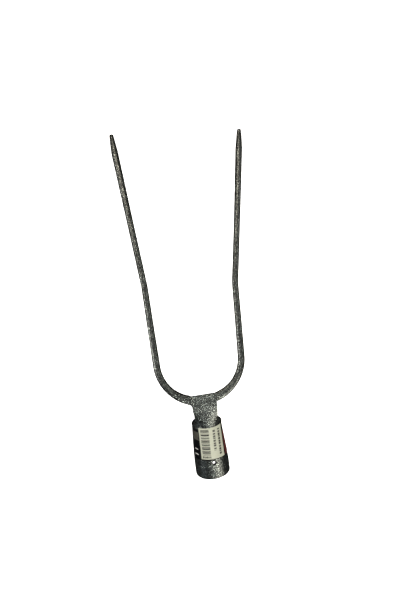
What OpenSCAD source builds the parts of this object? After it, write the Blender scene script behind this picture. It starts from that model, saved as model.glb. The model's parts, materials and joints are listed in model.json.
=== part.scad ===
// Head of a two-tine hay fork: a socket rolled from sheet steel, two bars
// bent into tines, the weld beads that join them, and two paper labels.
// The origin is the centre of the socket's mouth. The head lies label side
// up, with +Y towards the tips and +Z up, so the mouth's lower rim and the
// two tips are what touches the ground.

/* [Socket] */
// Outer diameter at the mouth
mouth_d = 35; // [33:0.5:38]
// Outer diameter where the tube ends at the neck
top_d = 29; // [28:0.5:31]
// Thickness of the rolled sheet
sheet = 2; // [1.5:0.1:2.4]
// Length of the tube, from the mouth to its shoulders
tube_len = 55; // [50:1:58]
// Length of the straight stretch inside the mouth
land_len = 12; // [9:1:14]
// Width of the open seam along the back
seam_w = 2.5; // [1.5:0.5:5]
// Angle of the socket's axis above level, mouth end down
socket_tilt = 8; // [6:0.5:10]

/* [Fixing hole] */
// Diameter of the hole for the nail or screw
hole_d = 3; // [2.8:0.1:5]
// Distance of the hole from the mouth
hole_at = 17; // [16:0.5:20]
// Turn of the hole away from the middle of the front, towards +X
hole_turn = 4; // [0:1:10]

/* [Neck] */
// Width of the neck where the tines are welded to it
neck_w = 24.4; // [23:0.2:26]
// Width of the neck's sheet where it leaves the tube, along its curve
neck_low_w = 21.6; // [20:0.2:24]
// Distance from the mouth to the neck's top edge, along the socket's axis
neck_end = 87.3; // [84:0.1:88]
// Distance from the mouth at which the strip has become flat
flat_from = 76; // [72:1:80]
// Height of the shoulders' slope beside the neck
shoulder_h = 7; // [5:0.5:8]

/* [Tines] */
// Diameter of the bars between the bend and the tips
bar_d = 6.6; // [5.6:0.1:7]
// Diameter of the bars in the bend
bend_bar_d = 7.6; // [7:0.1:8]
// Width of the flattened root beside the neck
root_w = 8.8; // [8:0.2:10.4]
// Thickness of the flattened root
root_t = 5; // [4:0.2:6]
// Diameter of the bars where the points begin
point_d = 7.2; // [6.6:0.1:7.6]
// Diameter of the blunt end of a point
tip_d = 4; // [2:0.2:4.4]
// Length of the tapered point
point_len = 20; // [14:1:28]
// Radius of the bend, along the bar's middle
bend_r = 39; // [36:0.5:42]
// Height of the bars' middle at the neck, above the origin
root_z = 21.6; // [20:0.2:23]
// How the bars curve down: 1 is straight, more keeps them level for longer
droop = 1.6; // [1:0.1:2.2]

/* [Left tine] */
// Distance of the root's middle from the origin, along Y
left_root_y = 80.6; // [79:0.1:83]
// Angle between the root and the X axis
left_root_turn = 16.4; // [10:0.5:24]
// Outward lean of the lower stretch
left_lower_lean = 0.4; // [-2:0.2:6]
// Length of the lower stretch
left_lower_len = 75; // [55:1:95]
// Outward lean of the upper stretch
left_upper_lean = 4.3; // [2:0.1:10]
// Length of the upper stretch
left_upper_len = 153.5; // [120:0.5:180]
// How far the blunt end is ground towards the other tine
left_point_in = 0.4; // [0:0.1:1.6]

/* [Right tine] */
// Distance of the root's middle from the origin, along Y
right_root_y = 80.3; // [79:0.1:83]
// Angle between the root and the X axis
right_root_turn = 12.8; // [10:0.5:24]
// Outward lean of the lower stretch
right_lower_lean = 4.2; // [-2:0.2:6]
// Length of the lower stretch
right_lower_len = 66; // [55:1:95]
// Outward lean of the upper stretch
right_upper_lean = 11.2; // [7:0.1:14]
// Length of the upper stretch
right_upper_len = 152.5; // [120:0.5:180]
// How far the blunt end is ground towards the other tine
right_point_in = 0.2; // [0:0.1:1.6]

/* [Labels] */
// Thickness of each paper label
paper = 0.16; // [0.1:0.02:0.3]
// Distance of the wrap label from the mouth
wrap_at = 20.5; // [20.5:0.5:24]
// Length of the wrap label along the socket
wrap_len = 31; // [20:0.5:31]
// Angle that the wrap label covers
wrap_angle = 290; // [200:5:320]
// Length of the price label, along the socket
price_len = 32; // [24:0.5:32]
// Width of the price label, around the socket
price_w = 25; // [18:0.5:28]
// Distance of the price label's middle from the mouth
price_at = 37.5; // [36:0.5:38]
// Turn of the price label's middle from the front, towards +X
price_turn = 8; // [-10:1:15]
// Slant of the price label on the socket
price_slant = -2; // [-6:1:6]

/* [Hidden] */
$fn = 96;

mouth_r = mouth_d / 2;
top_r = top_d / 2;
// Fall of the cone's wall for each millimetre along the axis
cone_fall = (mouth_r - top_r) / (tube_len - land_len);
// How far past the shoulders the tube runs beside the neck
stub_len = tube_len + shoulder_h;
root_x = neck_w / 2;
// The bars reach their own diameter this far from the root and from the bend
root_fade = 26;
bend_fade = 60;
// Height of the ground: the mouth's lower rim and both tips lie on it
ground_z = -mouth_r * cos(socket_tilt);
// Bend between the lower and the upper stretch
lean_r = 95;
ring_sides = 16;
eps = 0.02;

// Outer radius of the socket at a distance from the mouth
function outer_r(at) = mouth_r - cone_fall * max(0, at - land_len);
// Smooth step from 0 to 1
function ease(u) = let (v = min(1, max(0, u))) v * v * (3 - 2 * v);
function mix(a, b, u) = a + (b - a) * u;

// ---- Sweeps -------------------------------------------------------------

// Solid through rings that have the same number of points
module skin(rings) {
    sides = len(rings[0]);
    last = len(rings) - 1;
    walls = [for (i = [0:last - 1], j = [0:sides - 1])
        let (a = i * sides + j, b = i * sides + (j + 1) % sides)
        each [[a, b + sides, b], [a, a + sides, b + sides]]];
    half = sides / 2;
    // Each end is a row of flat strips from one side of the ring to the other
    ends = [for (e = [0, last], j = [0:half - 2])
        let (o = e * sides,
             a = o + j, b = o + j + 1,
             c = o + sides - 2 - j, d = o + sides - 1 - j)
        e == 0 ? [a, b, c, d] : [d, c, b, a]];
    polyhedron(points = [for (ring = rings) each ring],
               faces = concat(walls, ends), convexity = 6);
}

// Places things in the socket's own frame: +Y is its axis, +Z its front
module in_socket() rotate([socket_tilt, 0, 0]) children();
// Turns a solid whose axis is Z to lie along the socket's axis
module on_axis() rotate([-90, 0, 0]) children();

// ---- Socket and neck ----------------------------------------------------

// The strip starts inside the tube's wall, a hair thinner than the wall
neck_start = tube_len - 3;
neck_rings = 14;
neck_steps = 9;
// Half the width of the strip, along its curve
function neck_half(at) =
    mix(neck_low_w, neck_w, ease((at - tube_len) / (flat_from - tube_len))) / 2;
// Height of the middle of the strip above the socket's axis
function neck_mid(at) = outer_r(at) - sheet / 2;
// Curvature of the strip: the tube's own at the start, none when flat
function neck_bow(at) =
    (1 - ease((at - neck_start) / (flat_from - neck_start)))
    / (outer_r(neck_start) - sheet / 2);
// A point of the strip, at a distance along its width and above its middle
function neck_point(at, across, above) =
    let (bow = max(neck_bow(at), 1e-4), turn = across * bow * 180 / PI,
         r = 1 / bow)
    [(r + above) * sin(turn), at, neck_mid(at) - r + (r + above) * cos(turn)];
function neck_ring(at, shy) = concat(
    [for (k = [-neck_steps:neck_steps])
        neck_point(at, k / neck_steps * neck_half(at), sheet / 2 - shy)],
    [for (k = [neck_steps:-1:-neck_steps])
        neck_point(at, k / neck_steps * neck_half(at), shy - sheet / 2)]);

module neck() {
    skin([for (i = [0:neck_rings])
        let (at = mix(neck_start, neck_end, i / neck_rings))
        neck_ring(at, i == 0 ? 0.1 : 0.04)]);
}

module tube_wall() {
    on_axis() rotate_extrude() polygon([
        [mouth_r - sheet, 0], [mouth_r, 0], [mouth_r, land_len],
        [outer_r(stub_len), stub_len], [outer_r(stub_len) - sheet, stub_len],
        [mouth_r - sheet, land_len]]);
}

// Half the width that the tube's end still has past the shoulders
stub_x = top_r * sin(neck_low_w / 2 / (top_r - sheet / 2) * 180 / PI);

// Takes the tube's end away except beside the neck, where it slopes
module shoulder_cut() {
    for (side = [0, 1]) mirror([side, 0, 0])
        translate([0, 0, 2]) linear_extrude(mouth_r)
            polygon([[stub_x - 1, stub_len + 1], [stub_x - 1, stub_len],
                     [stub_x + 1, stub_len - 2], [top_r - 1.4, tube_len + 1.6],
                     [top_r - 0.2, tube_len], [mouth_r, tube_len - 1],
                     [mouth_r, stub_len + 1]]);
    translate([-mouth_r, tube_len - 1, -mouth_r])
        cube([mouth_d, shoulder_h + 2, mouth_r + 2 + eps]);
}

module seam_cut() {
    translate([-seam_w / 2, -1, -mouth_d])
        cube([seam_w, stub_len + 2, mouth_d]);
}

module hole_cut() {
    translate([0, hole_at, 0]) rotate([0, hole_turn, 0])
        cylinder(d = hole_d, h = mouth_d);
}

module socket() {
    color("dimgray") in_socket() {
        difference() {
            tube_wall();
            shoulder_cut();
            seam_cut();
            hole_cut();
        }
        neck();
    }
}

// ---- Tines --------------------------------------------------------------

// Sides of a tine: [root y, root turn, lower lean, lower length,
// upper lean, upper length, point in]
left_side = [left_root_y, left_root_turn, left_lower_lean, left_lower_len,
             left_upper_lean, left_upper_len, left_point_in];
right_side = [right_root_y, right_root_turn, right_lower_lean,
              right_lower_len, right_upper_lean, right_upper_len,
              right_point_in];

// Lengths of a tine's four stretches: bend, lower, lean bend, upper
function arc_len(r, turn) = r * turn * PI / 180;
function stretches(t) = [
    arc_len(bend_r, 90 - t[2] - t[1]), t[3],
    arc_len(lean_r, t[4] - t[2]), t[5]];
function tine_len(t) = let (s = stretches(t)) s[0] + s[1] + s[2] + s[3];

// Heading at a distance along the bar, from +X towards +Y
function heading(t, s) = let (p = stretches(t), a = p[0], b = a + p[1],
                              c = b + p[2])
    s < a ? mix(t[1], 90 - t[2], s / a)
    : s < b ? 90 - t[2]
    : s < c ? mix(90 - t[2], 90 - t[4], (s - b) / p[2])
    : 90 - t[4];

// End of an arc that starts at p, turning from one heading to another
function arc_end(p, r, from, to) =
    p + r * [sin(to) - sin(from), cos(from) - cos(to)];
function ahead(p, turn, run) = p + run * [cos(turn), sin(turn)];

// Place in plan of a point at a distance along the bar
function plan(t, s) =
    let (p = stretches(t), h = heading(t, s), low = 90 - t[2],
         high = 90 - t[4], start = [root_x, t[0]],
         bend = arc_end(start, bend_r, t[1], low),
         lower = ahead(bend, low, p[1]),
         upper = arc_end(lower, -lean_r, low, high),
         b = p[0] + p[1], c = b + p[2])
    s < p[0] ? arc_end(start, bend_r, t[1], h)
    : s < b ? ahead(bend, low, s - p[0])
    : s < c ? arc_end(lower, -lean_r, low, h)
    : ahead(upper, high, s - c);

// Height of the bar's middle, from level at the neck down to the ground
function bar_z(t, s) = mix(root_z, ground_z + tip_d / 2,
                           pow(s / tine_len(t), droop));

// Width and thickness of the bar at a distance along it
function bar_size(t, s) =
    let (left = tine_len(t) - s,
         plain = mix(bend_bar_d, bar_d, ease(s / (2 * bend_fade))),
         near_point = mix(plain, point_d, ease(1 - (left - point_len) / 90)),
         d = left < point_len
             ? mix(tip_d, near_point, pow(left / point_len, 0.8)) : near_point,
         flat = 1 - ease(s / root_fade))
    [mix(d, root_w, flat), mix(d, root_t, flat)];

// The ring of the bar; the first one is cut square with the neck's edge
function bar_ring(t, s) =
    let (h = heading(t, s), c = plan(t, s), z = bar_z(t, s),
         size = bar_size(t, s), along = [cos(h), sin(h)],
         side = [-sin(h), cos(h)])
    [for (k = [0:ring_sides - 1])
        let (a = (k + 0.5) * 360 / ring_sides,
             shift = t[6] * pow(max(0, 1 - (tine_len(t) - s) / point_len), 1.5),
             q = c + side * (cos(a) * size[0] / 2 + shift),
             slip = s == 0 ? (root_x - q[0]) / along[0] : 0)
        [q[0] + along[0] * slip, q[1] + along[1] * slip,
         z + sin(a) * size[1] / 2]];

// Distances of the rings, closer in the bends and at the point
function ring_places(t) =
    let (p = stretches(t), b = p[0] + p[1], c = b + p[2],
         whole = tine_len(t), point = whole - point_len)
    concat(
        [for (i = [0:21]) p[0] * i / 22],
        [for (i = [0:5]) mix(p[0], b, i / 6)],
        [for (i = [0:2]) mix(b, c, i / 3)],
        [for (i = [0:9]) mix(c, point, i / 10)],
        [for (i = [0:6]) mix(point, whole, i / 6)]);

module right_hand_bar(t) skin([for (s = ring_places(t)) bar_ring(t, s)]);
module left_tine() color("dimgray")
    mirror([1, 0, 0]) right_hand_bar(left_side);
module right_tine() color("dimgray") right_hand_bar(right_side);

// ---- Weld beads ---------------------------------------------------------

bead_d = 4;
// Distance of a bead's middle from the joint, towards the neck
bead_in = 0.4;

// A bead along the joint of a right-hand bar, on the front or the back
module bead(t, front) {
    size = bar_size(t, 0);
    at_z = root_z + (front ? 1 : -1) * sheet * 0.6;
    difference() {
        hull() for (e = [-1, 1])
            translate([root_x - bead_in, t[0] + e * (size[0] / 2 - 2), at_z])
                sphere(d = bead_d, $fn = 24);
        in_socket() neck_block(front);
        right_hand_bar(t);
    }
}

// The neck's strip, thickened away from the bead's own face
module neck_block(front) {
    neck();
    translate([-root_x - 4, flat_from - 12, neck_mid(flat_from)])
        mirror([0, 0, front ? 1 : 0])
            cube([neck_w + 8, 30, 8]);
}

module weld_left_front() color("slategray")
    mirror([1, 0, 0]) bead(left_side, true);
module weld_left_back() color("slategray")
    mirror([1, 0, 0]) bead(left_side, false);
module weld_right_front() color("slategray") bead(right_side, true);
module weld_right_back() color("slategray") bead(right_side, false);

// ---- Labels -------------------------------------------------------------

// Thin skin round the cone between two distances, starting at a lift
module skin_band(from, to, lift, angle) {
    on_axis() rotate([0, 0, -90 - angle / 2]) rotate_extrude(angle = angle)
        polygon([[outer_r(from) + lift, from],
                 [outer_r(from) + lift + paper, from],
                 [outer_r(to) + lift + paper, to],
                 [outer_r(to) + lift, to]]);
}

module wrap_label() color([0.1, 0.1, 0.1]) in_socket()
    skin_band(wrap_at, wrap_at + wrap_len, 0, wrap_angle);

// Straight distance between the price label's long edges
price_chord = 2 * outer_r(price_at)
    * sin(price_w / outer_r(price_at) * 90 / PI);

module price_label() color([0.85, 0.86, 0.77]) in_socket()
    intersection() {
        skin_band(land_len + 1, tube_len, paper, 160);
        rotate([0, price_turn, 0]) translate([0, price_at, 0])
            rotate([0, 0, price_slant])
                translate([-price_chord / 2, -price_len / 2, 0])
                    cube([price_chord, price_len, mouth_d]);
    }

socket();
left_tine();
right_tine();
weld_left_front();
weld_left_back();
weld_right_front();
weld_right_back();
wrap_label();
price_label();
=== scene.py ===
"""Looks of a two-tine hay fork head: a rolled sheet socket, two bars bent
into tines, weld beads and two labels, under hammered grey enamel.

Lengths are millimetres until a mesh is made. The socket has its own
coordinates: x, the distance from the mouth along its axis, and the height
above that axis towards its front.
"""

import json
from math import asin, atan2, cos, hypot, pi, radians, sin

import bmesh
import bpy
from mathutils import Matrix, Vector, noise


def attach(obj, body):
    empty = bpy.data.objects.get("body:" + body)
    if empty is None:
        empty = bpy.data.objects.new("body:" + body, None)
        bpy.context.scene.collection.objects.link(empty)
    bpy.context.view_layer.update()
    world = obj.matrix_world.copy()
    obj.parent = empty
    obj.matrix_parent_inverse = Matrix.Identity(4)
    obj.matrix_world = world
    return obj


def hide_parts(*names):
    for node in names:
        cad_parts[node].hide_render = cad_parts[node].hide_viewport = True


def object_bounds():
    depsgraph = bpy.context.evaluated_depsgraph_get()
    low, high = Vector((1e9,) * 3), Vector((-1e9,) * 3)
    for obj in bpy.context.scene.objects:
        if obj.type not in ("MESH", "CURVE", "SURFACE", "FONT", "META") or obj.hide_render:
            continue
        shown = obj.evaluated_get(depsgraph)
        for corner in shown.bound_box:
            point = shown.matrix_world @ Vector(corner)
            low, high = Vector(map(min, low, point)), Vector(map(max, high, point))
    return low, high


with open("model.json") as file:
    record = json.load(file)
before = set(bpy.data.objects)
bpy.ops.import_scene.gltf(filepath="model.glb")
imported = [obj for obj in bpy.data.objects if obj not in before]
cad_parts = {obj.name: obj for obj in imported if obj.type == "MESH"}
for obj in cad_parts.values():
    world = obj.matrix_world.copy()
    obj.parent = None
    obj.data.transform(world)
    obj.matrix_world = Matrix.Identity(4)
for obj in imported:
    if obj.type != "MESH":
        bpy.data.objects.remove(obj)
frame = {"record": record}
cad_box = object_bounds()

MM = 0.001
ROOT = "root"

# ---- Sizes that the frame gives -----------------------------------------

mounts = {m["name"]: m for m in frame["record"]["mounts"]}
bore = mounts["handle_socket"]
hole = mounts["fixing_hole"]
ground_z = mounts["ground_rest"]["pos_m"][2] / MM

socket_axis = -Vector(bore["axis"])
tilt = atan2(socket_axis.z, socket_axis.y)
sheet = hole["dims"]["length_mm"]
mouth_r = bore["dims"]["r_mm"] + sheet
land_len = bore["dims"]["length_mm"]

hole_r = hole["dims"]["r_mm"]
hole_pos = Vector(hole["pos_m"]) / MM
hole_at = hole_pos.dot(socket_axis)
hole_turn = atan2(hole_pos.x, hole_pos.z * cos(tilt) - hole_pos.y * sin(tilt))

# ---- Sizes that part.scad has too ---------------------------------------

top_r = 14.5
tube_len = 55.0
seam_w = 2.5
neck_w = 24.4
neck_low_w = 21.6
neck_end = 87.3
flat_from = 76.0
shoulder_h = 7.0
# The neck's strip starts inside the tube's wall
neck_start = tube_len - 3.0
# Beside the neck the tube runs on past its shoulders, as far as this
stub_len = tube_len + shoulder_h
root_x = neck_w / 2
cone_fall = (mouth_r - top_r) / (tube_len - land_len)

bar_d = 6.6
bend_bar_d = 7.6
root_w = 8.8
root_t = 5.0
point_d = 7.2
tip_d = 4.0
point_len = 20.0
# Power of the taper over the point, and the run in which a bar swells to it
point_taper = 0.8
swell_len = 90.0
bend_r = 39.0
lean_r = 95.0
root_z = 21.6
droop = 1.6
root_fade = 26.0
bend_fade = 60.0

LEFT = dict(side=-1, root_y=80.6, root_turn=16.4, lower_lean=0.4, lower_len=75.0,
            upper_lean=4.3, upper_len=153.5, point_in=0.4, seed=3.0)
RIGHT = dict(side=1, root_y=80.3, root_turn=12.8, lower_lean=4.2, lower_len=66.0,
             upper_lean=11.2, upper_len=152.5, point_in=0.2, seed=11.0)

paper = 0.16
wrap_at = 20.5
wrap_len = 31.0
wrap_angle = radians(290)
price_len = 32.0
price_w = 25.0
price_at = 37.5
price_turn = radians(8)
price_slant = radians(-2)


def clamp(u):
    return min(1.0, max(0.0, u))


def ease(u):
    u = clamp(u)
    return u * u * (3 - 2 * u)


def mix(a, b, u):
    return a + (b - a) * u


def outer_r(at):
    """Outer radius of the socket at a distance from the mouth."""
    return mouth_r - cone_fall * max(0.0, at - land_len)


def in_socket(x, at, front):
    """A point of the socket's own coordinates, in the frame, in millimetres."""
    return Vector((x, at * cos(tilt) - front * sin(tilt),
                   at * sin(tilt) + front * cos(tilt)))


# ---- Meshes --------------------------------------------------------------

def mesh_object(name, points, faces, materials, face_material=None):
    """An object from points in millimetres, riding on the only body."""
    mesh = bpy.data.meshes.new(name)
    mesh.from_pydata([tuple(p * MM for p in point) for point in points], [], faces)
    for material in materials:
        mesh.materials.append(material)
    if face_material:
        mesh.polygons.foreach_set("material_index", face_material)
    mesh.polygons.foreach_set("use_smooth", [True] * len(mesh.polygons))
    mesh.update()
    piece = bpy.data.objects.new(name, mesh)
    bpy.context.scene.collection.objects.link(piece)
    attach(piece, ROOT)
    return piece


def grid_faces(rows, columns):
    """Faces of a grid of cells whose points are numbered row by row."""
    wide = columns + 1
    return [(a, a + 1, a + wide + 1, a + wide)
            for i in range(rows) for a in range(i * wide, i * wide + columns)]


def slab(count, faces):
    """Faces of a closed slab: `faces` on its front, the same on its back, and
    walls round every open edge. Its back's points come `count` after."""
    edges = {}
    for face in faces:
        for a, b in zip(face, face[1:] + face[:1]):
            edges[(a, b)] = True
    walls = [(b, a, a + count, b + count) for a, b in edges if (b, a) not in edges]
    backs = [tuple(i + count for i in reversed(face)) for face in faces]
    return list(faces) + backs + walls


def soften(piece, width, angle=40):
    """Rounds the edges sharper than an angle."""
    bevel = piece.modifiers.new("rounded_edges", "BEVEL")
    bevel.width = width * MM
    bevel.segments = 3
    bevel.limit_method = "ANGLE"
    bevel.angle_limit = radians(angle)
    bevel.use_clamp_overlap = False
    piece.data.shade_smooth()


# ---- Materials -----------------------------------------------------------

class Nodes:
    """A material's nodes, with short ways to add one."""

    def __init__(self, name):
        self.material = bpy.data.materials.new(name)
        self.material.use_nodes = True
        self.tree = self.material.node_tree
        self.shader = self.tree.nodes["Principled BSDF"]

    def add(self, kind, inputs=(), **settings):
        node = self.tree.nodes.new(kind)
        for key, value in settings.items():
            setattr(node, key, value)
        for key, value in dict(inputs).items():
            self.feed(node.inputs[key], value)
        return node

    def feed(self, socket, value):
        if isinstance(value, bpy.types.NodeSocket):
            self.tree.links.new(value, socket)
        else:
            socket.default_value = value

    def ramp(self, factor, *stops):
        node = self.add("ShaderNodeValToRGB", {"Fac": factor})
        elements = node.color_ramp.elements
        while len(elements) < len(stops):
            elements.new(0.5)
        for element, (place, color) in zip(elements, stops):
            element.position = place
            element.color = (*color, 1)
        return node.outputs["Color"]

    def math(self, operation, a, b):
        node = self.add("ShaderNodeMath", {0: a, 1: b}, operation=operation)
        return node.outputs[0]


# Tints of the enamel, and its dark, middle and pale shades on the socket
# and, with more contrast, on the bars
COOL = (1.0, 1.09, 1.0)
WARM = (1.0, 1.06, 0.96)
SHEET_SHADES = (0.015, 0.115, 0.31)
BAR_SHADES = (0.012, 0.10, 0.42)

# Scales of the enamel's patterns, for places in metres
FLECK_SCALE = 1120.0
WANDER_SCALE = 700.0
CLOUD_SCALE = 60.0
GRAIN_SCALE = 1500.0
# How far the flecks' outlines wander, in metres
WANDER = 0.0007
# Where the ramp from fleck to film has its pale, middle and dark stops, and
# how far clouds in the film move them
FLECK_STOPS = (0.12, 0.31, 0.51)
CLOUD_DEPTH = 0.12
# Roughness on a fleck, and how much is added towards the film
FLECK_ROUGH = 0.19
FILM_ROUGH = 0.12
# Height of the grain as a share of a fleck's
GRAIN_SHARE = 0.12


def hammered_enamel(name, tone=1.0, shift=0.0, tint=COOL, shades=SHEET_SHADES,
                    relief=0.0003):
    """Hammered grey enamel: pale worm-like flecks in a dark, glossy film.
    The shift moves the pattern, and the relief is in metres."""
    n = Nodes(name)
    place = n.add("ShaderNodeTexCoord").outputs["Object"]
    moved = n.add("ShaderNodeVectorMath", {0: place, 1: (shift, shift, 0)},
                  operation="ADD").outputs[0]
    wander = n.add("ShaderNodeTexNoise", {"Vector": moved, "Scale": WANDER_SCALE,
                                          "Detail": 1.0})
    bent = n.add("ShaderNodeVectorMath",
                 {0: wander.outputs["Color"], 1: (WANDER, WANDER, WANDER)},
                 operation="MULTIPLY").outputs[0]
    bent = n.add("ShaderNodeVectorMath", {0: moved, 1: bent},
                 operation="ADD").outputs[0]
    cells = n.add("ShaderNodeTexVoronoi", {"Vector": bent, "Scale": FLECK_SCALE,
                                           "Randomness": 0.9})
    dimple = cells.outputs["Distance"]
    broad = n.add("ShaderNodeTexNoise", {"Vector": moved, "Scale": CLOUD_SCALE,
                                         "Detail": 3.0}).outputs["Fac"]
    uneven = n.math("MULTIPLY", n.math("SUBTRACT", broad, 0.5), CLOUD_DEPTH)
    level = n.math("ADD", dimple, uneven)
    dark, middle, pale = (tuple(tone * shade * t for t in tint) for shade in shades)
    color = n.ramp(level, *zip(FLECK_STOPS, (pale, middle, dark)))
    n.feed(n.shader.inputs["Base Color"], color)
    rough = n.math("ADD", n.math("MULTIPLY", level, FILM_ROUGH), FLECK_ROUGH)
    n.feed(n.shader.inputs["Roughness"], rough)
    n.feed(n.shader.inputs["Metallic"], 0.85)
    n.feed(n.shader.inputs["Coat Weight"], 0.15)
    n.feed(n.shader.inputs["Coat Roughness"], 0.3)
    grain = n.add("ShaderNodeTexNoise", {"Vector": moved, "Scale": GRAIN_SCALE,
                                         "Detail": 2.0}).outputs["Fac"]
    height = n.math("ADD", n.math("MULTIPLY", dimple, -1.0),
                    n.math("MULTIPLY", grain, GRAIN_SHARE))
    bump = n.add("ShaderNodeBump", {"Height": height, "Strength": 0.7,
                                    "Distance": relief})
    n.feed(n.shader.inputs["Normal"], bump.outputs["Normal"])
    return n.material


# Scales of the print's patterns, and how much the fibres vary its roughness
MOTTLE_SCALE = 220.0
FIBRE_SCALE = 900.0
FIBRE_ROUGH = 0.12


def printed(name, color, mottle, roughness, shine=0.3):
    """Printed film or paper: one colour, a little uneven, with a faint grain."""
    n = Nodes(name)
    place = n.add("ShaderNodeTexCoord").outputs["Object"]
    cloud = n.add("ShaderNodeTexNoise", {"Vector": place, "Scale": MOTTLE_SCALE,
                                         "Detail": 4.0}).outputs["Fac"]
    dark = tuple(c * (1 - mottle) for c in color)
    light = tuple(min(1.0, c * (1 + mottle)) for c in color)
    n.feed(n.shader.inputs["Base Color"],
           n.ramp(cloud, (0.3, dark), (0.7, light)))
    grain = n.add("ShaderNodeTexNoise", {"Vector": place, "Scale": FIBRE_SCALE,
                                         "Detail": 3.0}).outputs["Fac"]
    # The grain is about a half, so the roughness stays what it was given
    rough = n.math("ADD", n.math("MULTIPLY", grain, FIBRE_ROUGH),
                   roughness - FIBRE_ROUGH / 2)
    n.feed(n.shader.inputs["Roughness"], rough)
    n.feed(n.shader.inputs["Specular IOR Level"], shine)
    bump = n.add("ShaderNodeBump", {"Height": grain, "Strength": 0.25,
                                    "Distance": 0.0001})
    n.feed(n.shader.inputs["Normal"], bump.outputs["Normal"])
    return n.material


# ---- Socket and neck -----------------------------------------------------

# The sheet is one grid. Its strip columns run the whole length and become
# the neck; its wing columns run round the tube and end at the shoulders.
STRIP_COLUMNS = 36
WING_COLUMNS = 48
TUBE_ROWS = 56
COLLAR_ROWS = 20
NECK_ROWS = 34
# From here to the shoulders the rows follow the tube's sloping end
collar_from = 42.0
unroll_from = 55.0
# The flat strip's curvature is still just above nothing, because it divides
least_bow = 1e-4
# Past this turn round the axis the tube's end is level, and this much
# short of its nominal length
shoulder_dip = 1.0
shoulder_turn = radians(95)
# The tube's end flares a little round the neck, over a length and a turn
left_flare = 0.9
right_flare = 1.9
flare_from = 48.0
flare_len = 12.0
flare_turn = 0.5
# Where the bars' lower edges meet the neck, and the fillets there
corner_at = 79.8
left_fillet = 4.4
right_fillet = 1.6
fillet_share = 0.9
# The hole is punched, which draws its rim in, further on its upper side
dish = 0.7
dish_w = 1.15
dish_lean = 0.5
# Round the hole the grid gives way to loops, as far as this from its edge.
# The first goes this share of the way to the rim, the last is the hole's.
patch_margin = 2.4
first_loop = 0.6
PATCH_LOOPS = 4
# The last loops, in the dish, get a painted shade: a dark ring round the hole
PAINTED_SHADE_LOOPS = 3


def neck_half(at):
    """Half the width of the strip, along its curve."""
    return mix(neck_low_w, neck_w, ease((at - tube_len) / (flat_from - tube_len))) / 2


def fillet(at, radius):
    """How much the strip widens where it runs into a bar's lower edge."""
    rise = clamp((at - corner_at + radius) / radius)
    return fillet_share * radius * (1 - (1 - rise ** 2) ** 0.5)


def strip_bow(at):
    """Curvature of the strip: the tube's own, then unrolling until flat."""
    tube = 1 / (outer_r(at) - sheet / 2)
    unrolled = ((1 - ease((at - neck_start) / (flat_from - neck_start)))
                / (outer_r(neck_start) - sheet / 2))
    return max(least_bow, mix(tube, unrolled,
                              ease((at - unroll_from) / shoulder_h)))


def dish_at(at, across):
    """Depth of the dish round the fixing hole."""
    middle = hole_turn * (outer_r(hole_at) - sheet / 2)
    up, along = at - hole_at, across - middle
    away = hypot(up, along) - hole_r
    wide = dish_w * (1 + dish_lean * up / max(hole_r, hypot(up, along)))
    return dish * ease(1 - away / wide)


def sheet_point(at, across, above):
    """Point of the sheet, at an arc distance from its front line."""
    radius = outer_r(at) - sheet / 2
    bow = strip_bow(at)
    side = -1 if across < 0 else 1
    in_strip = at > stub_len or abs(across) <= neck_half(at)
    inner = abs(across) if in_strip else neck_half(at)
    turn = inner * bow
    above -= dish_at(at, across)
    x = sin(turn) / bow
    front = radius - (1 - cos(turn)) / bow
    outer_turn = turn + (abs(across) - inner) / radius
    x += radius * (sin(outer_turn) - sin(turn))
    front += radius * (cos(outer_turn) - cos(turn))
    if not in_strip:
        reach = left_flare if side < 0 else right_flare
        above += (reach * ease((at - flare_from) / flare_len)
                  * ease((outer_turn - turn) / flare_turn))
    return in_socket(side * (x + above * sin(outer_turn)), at,
                     front + above * cos(outer_turn))


def wing_across(at, share):
    """Arc distance of a wing column: 0 at the strip's edge, 1 at the seam."""
    radius = outer_r(at) - sheet / 2
    seam_edge = radius * (pi - asin(seam_w / 2 / radius))
    return mix(neck_half(at), seam_edge, share)


def shoulder(share):
    """How far from the mouth a wing column ends."""
    low = tube_len - shoulder_dip
    turn = wing_across(low, share) / (outer_r(low) - sheet / 2)
    start = neck_half(low) / (outer_r(low) - sheet / 2)
    fall = clamp((turn - start) / (shoulder_turn - start))
    return low + (stub_len - low) * (1 - fall) ** 2


def column_share(column):
    """Signed place of a column: within 1 in the strip, past 1 in a wing."""
    middle = WING_COLUMNS + STRIP_COLUMNS / 2
    step = column - middle
    if abs(step) <= STRIP_COLUMNS / 2:
        return step / (STRIP_COLUMNS / 2)
    past = (abs(step) - STRIP_COLUMNS / 2) / WING_COLUMNS
    return (1 + past) if step > 0 else -(1 + past)


def grid_place(row, column):
    """(distance from the mouth, arc distance) of a grid point."""
    share = column_share(column)
    wing = abs(share) - 1
    top = shoulder(wing) if wing > 0 else stub_len
    if row <= TUBE_ROWS:
        at = collar_from * row / TUBE_ROWS
    elif row <= TUBE_ROWS + COLLAR_ROWS:
        at = mix(collar_from, top, (row - TUBE_ROWS) / COLLAR_ROWS)
    else:
        at = mix(stub_len, neck_end, (row - TUBE_ROWS - COLLAR_ROWS) / NECK_ROWS)
    if wing > 0:
        across = wing_across(at, wing)
        return at, across if share > 0 else -across
    half = neck_half(at) + fillet(at, left_fillet if share < 0 else right_fillet)
    return at, share * half


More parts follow.
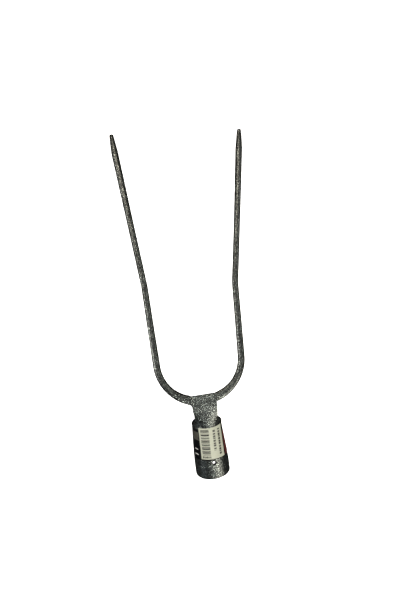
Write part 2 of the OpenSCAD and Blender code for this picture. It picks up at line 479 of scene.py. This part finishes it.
def socket_mesh():
    """Places and faces of the sheet's middle surface, with its round hole, and
    the set of the places round the hole that get a painted shade."""
    columns = 2 * WING_COLUMNS + STRIP_COLUMNS + 1
    shared_rows = TUBE_ROWS + COLLAR_ROWS
    hole_across = hole_turn * (outer_r(hole_at) - sheet / 2)
    patch = hole_r + patch_margin
    places, index = [], {}

    def point(row, column):
        if (row, column) not in index:
            index[(row, column)] = len(places)
            places.append(grid_place(row, column))
        return index[(row, column)]

    row_step = collar_from / TUBE_ROWS
    column_step = neck_low_w / STRIP_COLUMNS
    middle = WING_COLUMNS + STRIP_COLUMNS // 2
    rows = (round((hole_at - patch) / row_step), round((hole_at + patch) / row_step))
    cols = (middle + round((hole_across - patch) / column_step),
            middle + round((hole_across + patch) / column_step))
    faces = []
    for row in range(shared_rows + NECK_ROWS):
        for column in range(columns - 1):
            in_strip = WING_COLUMNS <= column < WING_COLUMNS + STRIP_COLUMNS
            if row >= shared_rows and not in_strip:
                continue
            if rows[0] <= row < rows[1] and cols[0] <= column < cols[1]:
                continue
            faces.append((point(row, column), point(row, column + 1),
                          point(row + 1, column + 1), point(row + 1, column)))

    # The patch's outline, walked the same way round as the faces
    outline = ([(rows[0], c) for c in range(cols[0], cols[1])]
               + [(r, cols[1]) for r in range(rows[0], rows[1])]
               + [(rows[1], c) for c in range(cols[1], cols[0], -1)]
               + [(r, cols[0]) for r in range(rows[1], rows[0], -1)])
    ring = [point(*place) for place in outline]
    for loop in range(1, PATCH_LOOPS + 1):
        inner = []
        for place in outline:
            at, across = grid_place(*place)
            turn = atan2(at - hole_at, across - hole_across)
            rim_r = hole_r + dish_w * (1 + dish_lean * sin(turn))
            if loop == 1:
                reach = mix(hypot(at - hole_at, across - hole_across), rim_r,
                            first_loop)
            else:
                reach = mix(rim_r, hole_r, (loop - 2) / (PATCH_LOOPS - 2))
            inner.append(len(places))
            places.append((hole_at + reach * sin(turn),
                           hole_across + reach * cos(turn)))
        for i in range(len(ring)):
            j = (i + 1) % len(ring)
            faces.append((ring[i], ring[j], inner[j], inner[i]))
        ring = inner
    around_hole = set(range(len(places) - PAINTED_SHADE_LOOPS * len(ring), len(places)))
    return places, faces, around_hole


def make_socket():
    places, faces, around_hole = socket_mesh()
    points = ([sheet_point(at, across, sheet / 2) for at, across in places]
              + [sheet_point(at, across, -sheet / 2) for at, across in places])
    every = slab(len(places), faces)
    painted_shade_faces = [1 if all(i % len(places) in around_hole for i in face) else 0
              for face in every]
    # Painted shade: the faces in the dish round the hole get a much darker copy
    # of the enamel, standing in for the shade in the drawn-in rim
    piece = mesh_object("socket_sheet", points, every,
                        [hammered_enamel("socket_enamel"),
                         hammered_enamel("painted_shade_enamel", tone=0.06)], painted_shade_faces)
    soften(piece, 0.3)
    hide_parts("socket")


# ---- Tines ---------------------------------------------------------------

TINE_SIDES = 36
TINE_STEP = 1.5
# Each bar ends in a blunt round tip, this long and this many rings
blunt = 0.7
BLUNT_RINGS = 6
# The root is squarer, so that it runs on from the flat neck: the power of
# its outline, which is 2 for the ellipse beyond it
root_power = 3.4
# Forging takes away this share of the radius at least, and up to twice the
# swing more, in waves of this length
forged_least = 0.018
forged_swing = 0.005
forged_len = 9.0


class Tine:
    """A bar's path and thickness, drawn as if on the right-hand side."""

    def __init__(self, sizes):
        self.__dict__.update(sizes)
        self.low = radians(90 - self.lower_lean)
        self.high = radians(90 - self.upper_lean)
        self.root = radians(self.root_turn)
        self.ends = []
        total = 0.0
        for run in (bend_r * (self.low - self.root), self.lower_len,
                    lean_r * (self.low - self.high), self.upper_len):
            total += run
            self.ends.append(total)
        self.length = total

    def heading(self, s):
        """Heading of the bar, from +X towards +Y."""
        bend, lower, lean = self.ends[:3]
        if s < bend:
            return mix(self.root, self.low, s / bend)
        return mix(self.low, self.high, clamp((s - lower) / (lean - lower)))

    def plan(self, s):
        """Place in plan, walked from the root in one go per stretch."""
        bend, lower, lean = self.ends[:3]
        x, y = root_x, self.root_y
        turn = self.heading(min(s, bend))
        x += bend_r * (sin(turn) - sin(self.root))
        y += bend_r * (cos(self.root) - cos(turn))
        run = clamp((s - bend) / (lower - bend)) * (lower - bend)
        x, y = x + run * cos(self.low), y + run * sin(self.low)
        turn = self.heading(s) if s > lower else self.low
        x += -lean_r * (sin(turn) - sin(self.low))
        y += -lean_r * (cos(self.low) - cos(turn))
        run = max(0.0, s - lean)
        return x + run * cos(self.high), y + run * sin(self.high)

    def height(self, s):
        return mix(root_z, ground_z + tip_d / 2, (s / self.length) ** droop)

    def size(self, s):
        """Width and thickness of the bar."""
        left = self.length - s
        plain = mix(bend_bar_d, bar_d, ease(s / (2 * bend_fade)))
        d = mix(plain, point_d, ease(1 - (left - point_len) / swell_len))
        if left < point_len:
            d = mix(tip_d, d, (left / point_len) ** point_taper)
        flat = 1 - ease(s / root_fade)
        return mix(d, root_w, flat), mix(d, root_t, flat)

    def ring(self, s, shrink=1.0):
        """Points round the bar. The first ring lies in the neck's edge."""
        turn = self.heading(s)
        x, y = self.plan(s)
        z = self.height(s)
        width, thick = self.size(s)
        shift = self.point_in * clamp(1 - (self.length - s) / point_len) ** 1.5
        square = 2 / mix(2, root_power, 1 - ease(s / root_fade))
        points = []
        for k in range(TINE_SIDES):
            a = 2 * pi * k / TINE_SIDES
            forged = noise.noise(Vector((s / forged_len, cos(a),
                                         sin(a) + self.seed)))
            taken = forged_least + forged_swing * (1 + forged)
            rim = shrink * (1 - taken * ease(s / root_fade))
            c = abs(cos(a)) ** square * (1 if cos(a) > 0 else -1)
            h = abs(sin(a)) ** square * (1 if sin(a) > 0 else -1)
            out = c * width / 2 * rim + shift
            px, py = x - sin(turn) * out, y + cos(turn) * out
            if s == 0:
                px, py = root_x, py + (root_x - px) * sin(turn) / cos(turn)
            points.append((self.side * px, py, z + h * thick / 2 * rim))
        return points


def make_tine(name, tine):
    steps = round(tine.length / TINE_STEP)
    rings = [tine.ring((tine.length - blunt) * i / steps) for i in range(steps)]
    for i in range(BLUNT_RINGS):
        u = i / BLUNT_RINGS
        rings.append(tine.ring(tine.length - blunt * (1 - sin(u * pi / 2)),
                               mix(1, cos(u * pi / 2), 0.5)))
    points = [p for ring in rings for p in ring]
    faces = []
    for i in range(len(rings) - 1):
        for k in range(TINE_SIDES):
            a, b = i * TINE_SIDES + k, i * TINE_SIDES + (k + 1) % TINE_SIDES
            faces.append((a, b, b + TINE_SIDES, a + TINE_SIDES))
    faces.append(tuple(reversed(range(TINE_SIDES))))
    faces.append(tuple(range(len(points) - TINE_SIDES, len(points))))
    if tine.side > 0:
        faces = [tuple(reversed(face)) for face in faces]
    enamel = hammered_enamel(name + "_enamel", shift=tine.seed * 0.01, tint=WARM,
                             shades=BAR_SHADES, relief=0.00025)
    piece = mesh_object(name + "_bar", points, faces, [enamel])
    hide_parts(name)


# ---- Weld beads ----------------------------------------------------------

BEAD_ROWS = 44
BEAD_COLUMNS = 14
bead_half_w = 2.3
front_proud = 0.45
back_proud = 0.9
# A bead's ripples and the slow wander of its edges: size and number
ripple_height = 0.10
RIPPLES = 7.5
edge_wander = 0.25
WANDERS = 3.7
# How deep its edges and its underside lie in the steel
edge_sunk = 0.05
under_sunk = 0.35
# It stops short of the root's lower and upper edges, and narrows there to
# this share of its width
low_short = 0.2
high_short = 0.5
end_share = 0.6


def neck_face(y, front):
    """Height of the neck's front or back face where it is flat, found in a
    few steps, because the height and the distance depend on each other."""
    at = y / cos(tilt)
    for _ in range(4):
        level = outer_r(at) - sheet / 2 + (sheet / 2 if front else -sheet / 2)
        at = (y + level * sin(tilt)) / cos(tilt)
    return at * sin(tilt) + level * cos(tilt)


def bar_face(tine, y, front):
    """Height of the root's front or back, at its flat end."""
    width, thick = tine.size(0)
    off = min(1.0, abs(y - tine.root_y) / (width / 2))
    rise = thick / 2 * (1 - off ** root_power) ** (1 / root_power)
    return root_z + (rise if front else -rise)


def make_bead(name, tine, front):
    """A rippled bead laid along the joint between the neck and a bar."""
    proud = front_proud if front else back_proud
    face = 1 if front else -1
    low = tine.root_y - root_w / 2 + low_short
    high = tine.root_y + root_w / 2 - high_short
    top, under = [], []
    for i in range(BEAD_ROWS + 1):
        u = i / BEAD_ROWS
        y = mix(low, high, u)
        swell = (1 - abs(2 * u - 1) ** 5) ** 0.5
        height = proud + ripple_height * cos(u * 2 * pi * RIPPLES)
        half_w = bead_half_w + edge_wander * sin(u * 2 * pi * WANDERS + tine.seed)
        for j in range(BEAD_COLUMNS + 1):
            v = 2 * j / BEAD_COLUMNS - 1
            x = root_x + v * half_w * mix(end_share, 1, swell)
            base = mix(neck_face(y, front), bar_face(tine, y, front),
                       ease((v + 1) / 2))
            crown = (1 - v * v) ** 0.75 * height * swell
            top.append((tine.side * x, y, base + face * (crown - edge_sunk)))
            under.append((tine.side * x, y, base - face * under_sunk))
    faces = grid_faces(BEAD_ROWS, BEAD_COLUMNS)
    if face * tine.side < 0:
        faces = [tuple(reversed(quad)) for quad in faces]
    piece = mesh_object(name + "_bead", top + under, slab(len(top), faces),
                        [hammered_enamel(name + "_enamel", tone=0.9,
                                         shift=tine.seed * 0.02)])
    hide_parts(name)


# ---- Labels --------------------------------------------------------------

# Each label is this much thinner than its CAD solid, so that no two faces
# lie in one place
glue = 0.01
# Rows and columns of cells that the print is made of
WRAP_CELLS = (70, 160)
PRICE_CELLS = (80, 60)


def within(value, span):
    """Whether a value lies between the two ends of a span."""
    return span[0] < value < span[1]


def label_point(at, across, lift):
    """Point above the cone, at an arc distance from its front line."""
    radius = outer_r(at)
    turn = across / radius
    return in_socket((radius + lift) * sin(turn), at, (radius + lift) * cos(turn))


def in_field(along, over, field):
    """Whether a place lies in a field, given as its two spans."""
    return within(along, field[0]) and within(over, field[1])


def no_lift(u, v):
    return 0.0


def make_label(name, cells, base, place, inks, ink_at, lift=no_lift):
    """A thin slab of cells, with its underside at a height above the cone.
    place gives (at, across) for shares from 0 to 1, lift how far the paper
    stands off there, and ink_at the number of the ink for a cell's middle."""
    rows, columns = cells
    tops, unders = [], []
    for i in range(rows + 1):
        for j in range(columns + 1):
            at, across = place(i / rows, j / columns)
            low = lift(i / rows, j / columns) + base
            tops.append(label_point(at, across, low + paper - glue))
            unders.append(label_point(at, across, low))
    colors = [ink_at(*place((i + 0.5) / rows, (j + 0.5) / columns))
              for i in range(rows) for j in range(columns)]
    every = slab(len(tops), grid_faces(rows, columns))
    colors += [0] * (len(every) - len(colors))
    piece = mesh_object(name + "_print", tops + unders, every, inks, colors)
    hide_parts(name)


def make_wrap_label():
    black, red, grey, white = range(4)
    # Fields of the print, along the socket and round it. The red one has a
    # white line beside it, and both end below the label's top.
    red_across = (16.3, 30)
    line_across = (30, 30.7)
    red_top = 45
    grey_field = ((41, 49.4), (-20, -11))
    dashes = (((30.6, 31.5), (-18.6, -14)), ((25.4, 26.3), (-18.6, -14)))

    def place(u, v):
        at = wrap_at + wrap_len * u
        return at, (v - 0.5) * wrap_angle * outer_r(at)

    def ink(at, across):
        if at < red_top and within(across, red_across):
            return red
        if at < red_top and line_across[0] <= across < line_across[1]:
            return white
        if in_field(at, across, grey_field):
            return grey
        if any(in_field(at, across, dash) for dash in dashes):
            return white
        return black

    inks = [printed("film_black", (0.002, 0.002, 0.0025), 0.3, 0.3, 0.05),
            printed("film_red", (0.06, 0.014, 0.013), 0.15, 0.42, 0.1),
            printed("film_grey", (0.04, 0.038, 0.03), 0.3, 0.42, 0.15),
            printed("film_white", (0.45, 0.45, 0.42), 0.05, 0.42, 0.3)]
    make_label("wrap_label", WRAP_CELLS, glue, place, inks, ink)


def make_price_label():
    paper_white, faint, black = range(3)
    corner_lift = 0.25

    def place(u, v):
        along = (u - 0.5) * price_len
        over = (v - 0.5) * price_w
        at = price_at + along * cos(price_slant) + over * sin(price_slant)
        across = (over * cos(price_slant) - along * sin(price_slant)
                  + price_turn * outer_r(price_at))
        return at, across

    def local(at, across):
        over = across - price_turn * outer_r(price_at)
        along = at - price_at
        return (along * cos(price_slant) - over * sin(price_slant),
                over * cos(price_slant) + along * sin(price_slant))

    # Lengths of marks and gaps, in turn, made up and not read from anything:
    # the bars of a code, its digits, and the strokes of two lines of text
    bars = [0.8, 0.4, 1.2, 0.4, 0.4, 0.8, 0.4, 0.4, 1.6, 1.2, 0.4, 0.4, 0.8, 0.8,
            0.4, 0.4, 1.2, 0.4, 0.8, 0.4, 0.4, 0.8, 1.2, 0.4, 0.4, 0.8, 0.8, 0.4,
            1.6, 0.8, 0.4, 0.4, 1.2, 0.4, 0.8, 0.4, 0.4, 0.8]
    digits = [0.8, 0.4, 1.2, 0.4, 0.8, 0.4]
    strokes = [2.0, 1.2, 1.6, 0.8, 2.0, 0.4, 1.2, 0.8, 2.0, 0.8, 1.6, 0.4]
    # Their fields, along the label and over it, from its middle
    code_field = ((-12, 14.5), (-11, -2.4))
    digit_field = ((-15, -12.9), (-11, -2.4))
    faint_field = ((-7.5, 13.2), (1.2, 3.7))
    bold_field = ((-13, 13.2), (6.8, 9.2))
    # The bold line starts part of the way into its first stroke
    bold_start = 14

    def marked(run, pattern):
        """Whether a distance falls on a mark of a repeating pattern."""
        run = run % sum(pattern)
        for i, length in enumerate(pattern):
            if run < length:
                return i % 2 == 0
            run -= length
        return False

    def ink(at, across):
        along, over = local(at, across)
        for field, run, pattern, color in (
                (code_field, code_field[0][1] - along, bars, black),
                (digit_field, over, digits, black),
                (faint_field, faint_field[0][1] - along, strokes, faint),
                (bold_field, bold_start - along, strokes, black)):
            if in_field(along, over, field):
                return color if marked(run, pattern) else paper_white
        return paper_white

    def lift(u, v):
        """The paper stands off a little at its corners."""
        return corner_lift * abs(2 * u - 1) ** 8 * abs(2 * v - 1) ** 8

    inks = [printed("paper_white", (0.30, 0.307, 0.245), 0.05, 0.6),
            printed("ink_faint", (0.045, 0.045, 0.04), 0.2, 0.6),
            printed("ink_black", (0.012, 0.012, 0.012), 0.2, 0.55)]
    make_label("price_label", PRICE_CELLS, paper, place, inks, ink, lift)


# ---- Stage ---------------------------------------------------------------

def add_camera():
    data = bpy.data.cameras.new("camera")
    data.sensor_width = 36
    data.lens = 27.015
    camera = bpy.data.objects.new("camera", data)
    camera.location = Vector((-20.95, 198.6, 452.69)) * MM
    camera.rotation_euler = (radians(-2.48), radians(-4.60), radians(-8.27))
    bpy.context.scene.collection.objects.link(camera)
    bpy.context.scene.camera = camera


def add_light(name, place, target, size, power, color):
    """A soft panel, all in millimetres but its power in watts."""
    data = bpy.data.lights.new(name, "AREA")
    data.shape = "RECTANGLE"
    data.size, data.size_y = size[0] * MM, size[1] * MM
    data.energy = power
    data.color = color
    light = bpy.data.objects.new(name, data)
    light.location = Vector(place) * MM
    aim = (Vector(target) - Vector(place)).to_track_quat("-Z", "Y")
    light.rotation_euler = aim.to_euler()
    bpy.context.scene.collection.objects.link(light)


def add_stage():
    """A white floor and dome, which the camera sees but which don't light the
    object or show in its gloss, and a dim sky. Their sizes are metres."""
    span, dome_r = 4.0, 3.0
    z = cad_box[0][2]
    mesh = bpy.data.meshes.new("floor")
    mesh.from_pydata([(-span, -span, z), (span, -span, z), (span, span, z),
                      (-span, span, z)], [], [(0, 1, 2, 3)])
    floor = bpy.data.objects.new("floor", mesh)
    bpy.context.scene.collection.objects.link(floor)
    n = Nodes("floor_white")
    n.feed(n.shader.inputs["Base Color"], (0.9, 0.9, 0.9, 1))
    n.feed(n.shader.inputs["Roughness"], 0.9)
    n.feed(n.shader.inputs["Emission Color"], (1, 1, 1, 1))
    n.feed(n.shader.inputs["Emission Strength"], 0.95)
    mesh.materials.append(n.material)
    dome_mesh = bpy.data.meshes.new("dome")
    ball = bmesh.new()
    bmesh.ops.create_uvsphere(ball, u_segments=48, v_segments=24, radius=dome_r)
    ball.to_mesh(dome_mesh)
    ball.free()
    dome = bpy.data.objects.new("dome", dome_mesh)
    bpy.context.scene.collection.objects.link(dome)
    dome_mesh.materials.append(n.material)
    for thing in (floor, dome):
        thing.visible_glossy = False
        thing.visible_diffuse = False
    dome.visible_shadow = False

    world = bpy.data.worlds.new("world")
    world.use_nodes = True
    sky = world.node_tree.nodes["Background"]
    sky.inputs["Color"].default_value = (0.9, 0.95, 1.0, 1)
    sky.inputs["Strength"].default_value = 0.03
    bpy.context.scene.world = world
    bpy.context.scene.view_settings.view_transform = "Standard"


# The soft panels: name, place, target, size, power in watts and colour
PANELS = (
    ("key", (380, -400, 440), (0, 40, 10), (270, 270), 5.2, (1.0, 0.96, 0.86)),
    ("near_panel", (60, -430, 740), (0, 60, 10), (260, 200), 2.5,
     (0.97, 1.0, 0.97)),
    ("overhead", (0, 240, 900), (0, 200, 0), (420, 420), 1.7, (0.98, 1.0, 0.99)),
    ("far_panel", (-60, 760, 540), (0, 330, 0), (420, 200), 3.8,
     (1.0, 0.91, 0.81)),
    ("far_left_panel", (-450, 480, 300), (-60, 320, 0), (240, 220), 1.3,
     (1.0, 0.97, 0.92)),
    ("left_panel", (-500, 95, 285), (-30, 110, 10), (200, 200), 3.0,
     (1.0, 0.98, 0.96)),
    ("right_panel", (480, 290, 300), (50, 240, 0), (520, 320), 1.2,
     (1.0, 1.0, 0.98)),
    ("blue_fill", (-420, -260, 210), (0, 30, 0), (300, 300), 0.2,
     (0.72, 0.86, 1.0)),
)


# ---- The scene -----------------------------------------------------------

add_camera()
make_socket()
left, right = Tine(LEFT), Tine(RIGHT)
make_tine("left_tine", left)
make_tine("right_tine", right)
for word, tine in (("left", left), ("right", right)):
    make_bead(f"weld_{word}_front", tine, True)
    make_bead(f"weld_{word}_back", tine, False)
make_wrap_label()
make_price_label()

for panel in PANELS:
    add_light(*panel)
add_stage()
